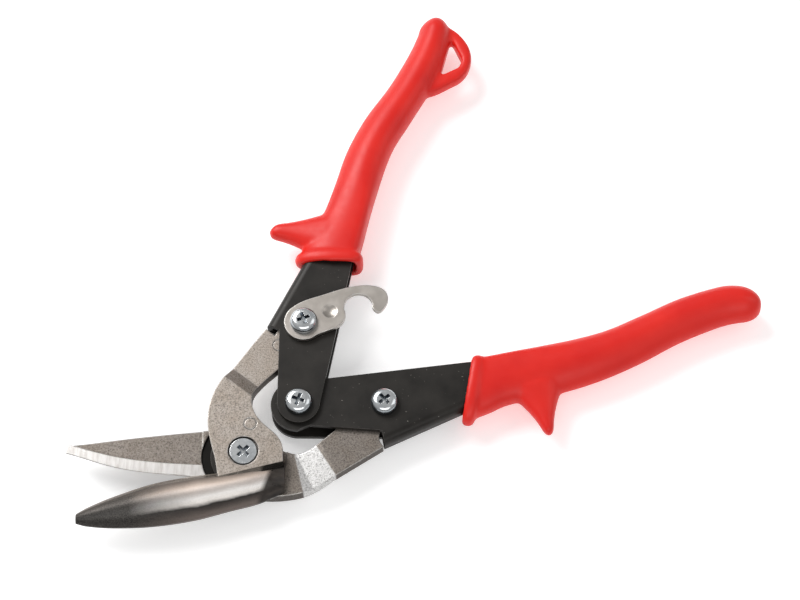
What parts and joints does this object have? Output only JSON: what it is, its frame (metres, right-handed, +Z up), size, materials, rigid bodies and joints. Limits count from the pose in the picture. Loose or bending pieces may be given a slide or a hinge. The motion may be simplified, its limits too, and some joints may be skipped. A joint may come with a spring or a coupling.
{
  "type": "aviation snips",
  "caption": "Compound-action offset aviation snips, open: two crossed forged jaws driven by channel handles with moulded grips, a hook latch and a hang loop.",
  "frame": {"origin": "centre of the open tool's plan box, on the plane of its lowest point", "axes": "+X from the blade tips towards the lower handle, +Y towards the upper handle, +Z up out of the tool's front face, along the pivots"},
  "size_m": [0.2362, 0.1948, 0.0183],
  "materials": {
    "jaw_steel": "sand-blasted forged steel with ground edges",
    "channel_steel": "black oxide, worn on the edges",
    "grip_vinyl": "satin moulded vinyl",
    "bright_zinc": "bright zinc plate",
    "latch_nickel": "satin nickel plate",
    "spring_steel": "oiled spring wire",
    "bush_steel": "turned steel"
  },
  "bodies": {
    "lower_handle": {"lower_channel": "channel_steel", "lower_grip": "grip_vinyl", "lower_jaw_screw": "bright_zinc", "lower_jaw_nut": "bright_zinc", "handle_pivot_screw": "bright_zinc", "handle_pivot_nut": "bright_zinc", "handle_pivot_sleeve": "bush_steel", "return_spring": "spring_steel"},
    "upper_handle": {"upper_channel": "channel_steel", "upper_grip": "grip_vinyl", "upper_jaw_screw": "bright_zinc", "upper_jaw_nut": "bright_zinc", "latch_washer": "bright_zinc"},
    "back_jaw": {"back_jaw": "jaw_steel", "lower_tang_bush": "bush_steel", "jaw_pivot_bolt": "bright_zinc", "jaw_pivot_washer": "bush_steel", "jaw_pivot_nut": "bright_zinc"},
    "front_jaw": {"front_jaw": "jaw_steel", "upper_tang_bush": "bush_steel"},
    "latch": {"latch": "latch_nickel"}
  },
  "joints": [
    {"name": "handle_pivot", "type": "hinge", "parent": "lower_handle", "child": "upper_handle", "pos_m": [-0.04055, -0.05484, 0.0085], "axis": [0, 0, 1], "range_deg": [-47, 0], "stiffness_Nm_per_rad": 0.6, "springref_deg": 38.39, "deforming": ["return_spring"]},
    {"name": "lower_jaw_pivot", "type": "hinge", "parent": "lower_handle", "child": "back_jaw", "pos_m": [-0.01175, -0.05428, 0.0085], "axis": [0, 0, 1], "range_deg": [-11.8, 0]},
    {"name": "jaw_pivot", "type": "hinge", "parent": "back_jaw", "child": "front_jaw", "pos_m": [-0.05856, -0.07242, 0.0085], "axis": [0, 0, 1], "range_deg": [-23.6, 0]},
    {"name": "latch_pivot", "type": "hinge", "parent": "upper_handle", "child": "latch", "pos_m": [-0.03929, -0.02607, 0.0085], "axis": [0, 0, 1], "range_deg": [-38.7, 6]}
  ],
  "couplings": [
    {"joint": "lower_jaw_pivot", "follows": "handle_pivot", "ratio": 0.2496},
    {"joint": "jaw_pivot", "follows": "handle_pivot", "ratio": 0.5016}
  ]
}
